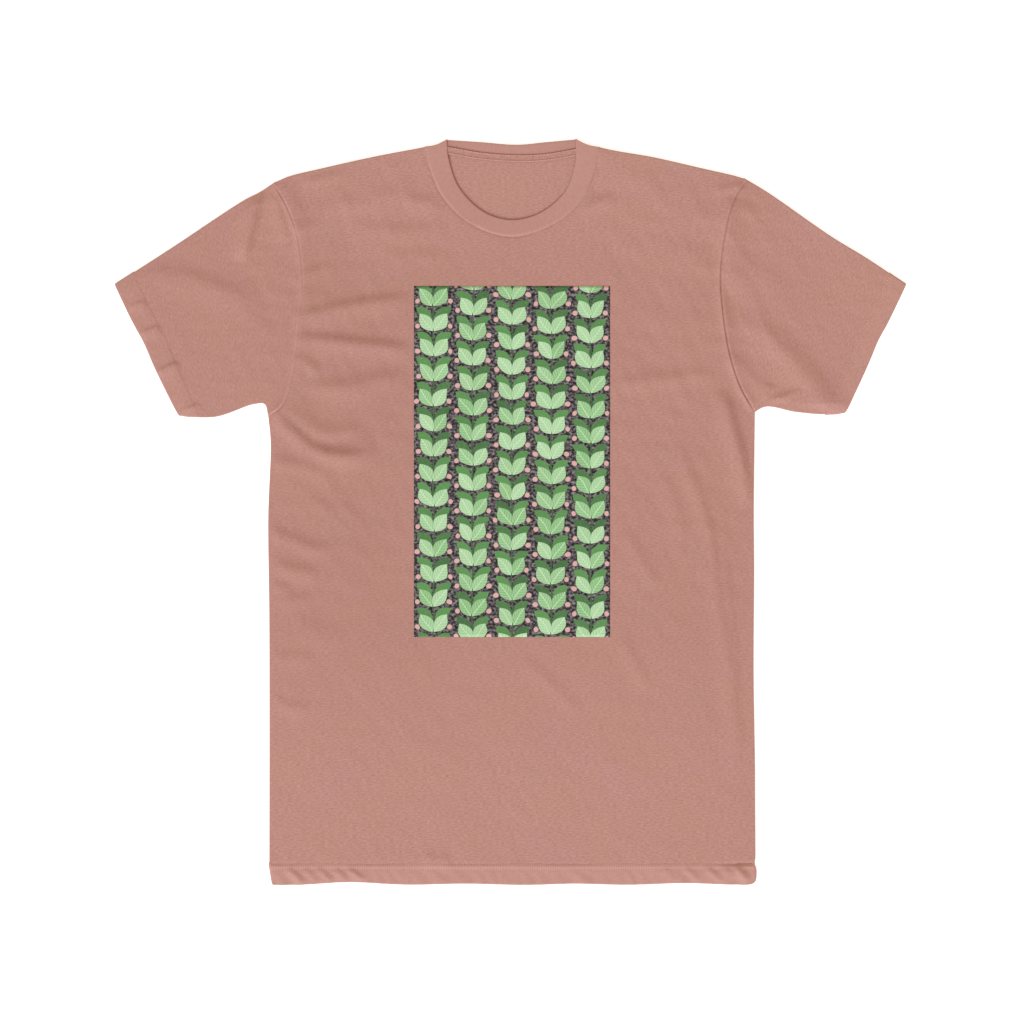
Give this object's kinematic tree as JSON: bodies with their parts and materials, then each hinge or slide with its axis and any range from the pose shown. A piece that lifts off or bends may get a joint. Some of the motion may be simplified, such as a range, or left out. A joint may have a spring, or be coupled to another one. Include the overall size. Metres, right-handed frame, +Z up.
{
  "type": "t-shirt",
  "caption": "Short-sleeved crew-neck T-shirt of cotton jersey with a ribbed collar, an inside neck tape and a printed chest panel, lying flat on its back with the front up.",
  "frame": {"origin": "middle of the outline, on the surface that the shirt lies on", "axes": "+X to the right as the front is looked at, along the span from cuff to cuff; +Y from the hem to the neck; +Z up from the surface, out of the front"},
  "size_m": [0.767, 0.722, 0.0095],
  "materials": {
    "jersey": "matte dusty-pink single jersey, fine heather",
    "rib": "matte dusty-pink one-by-one rib",
    "tape": "matte dusty-pink twill tape",
    "print": "matte ink in greens, charcoal and blush over jersey"
  },
  "bodies": {
    "root": {"back_panel": "jersey", "front_panel": "jersey", "sleeve_left": "jersey", "sleeve_right": "jersey", "neck_rib": "rib", "neck_tape": "tape", "chest_print": "print"}
  },
  "joints": []
}
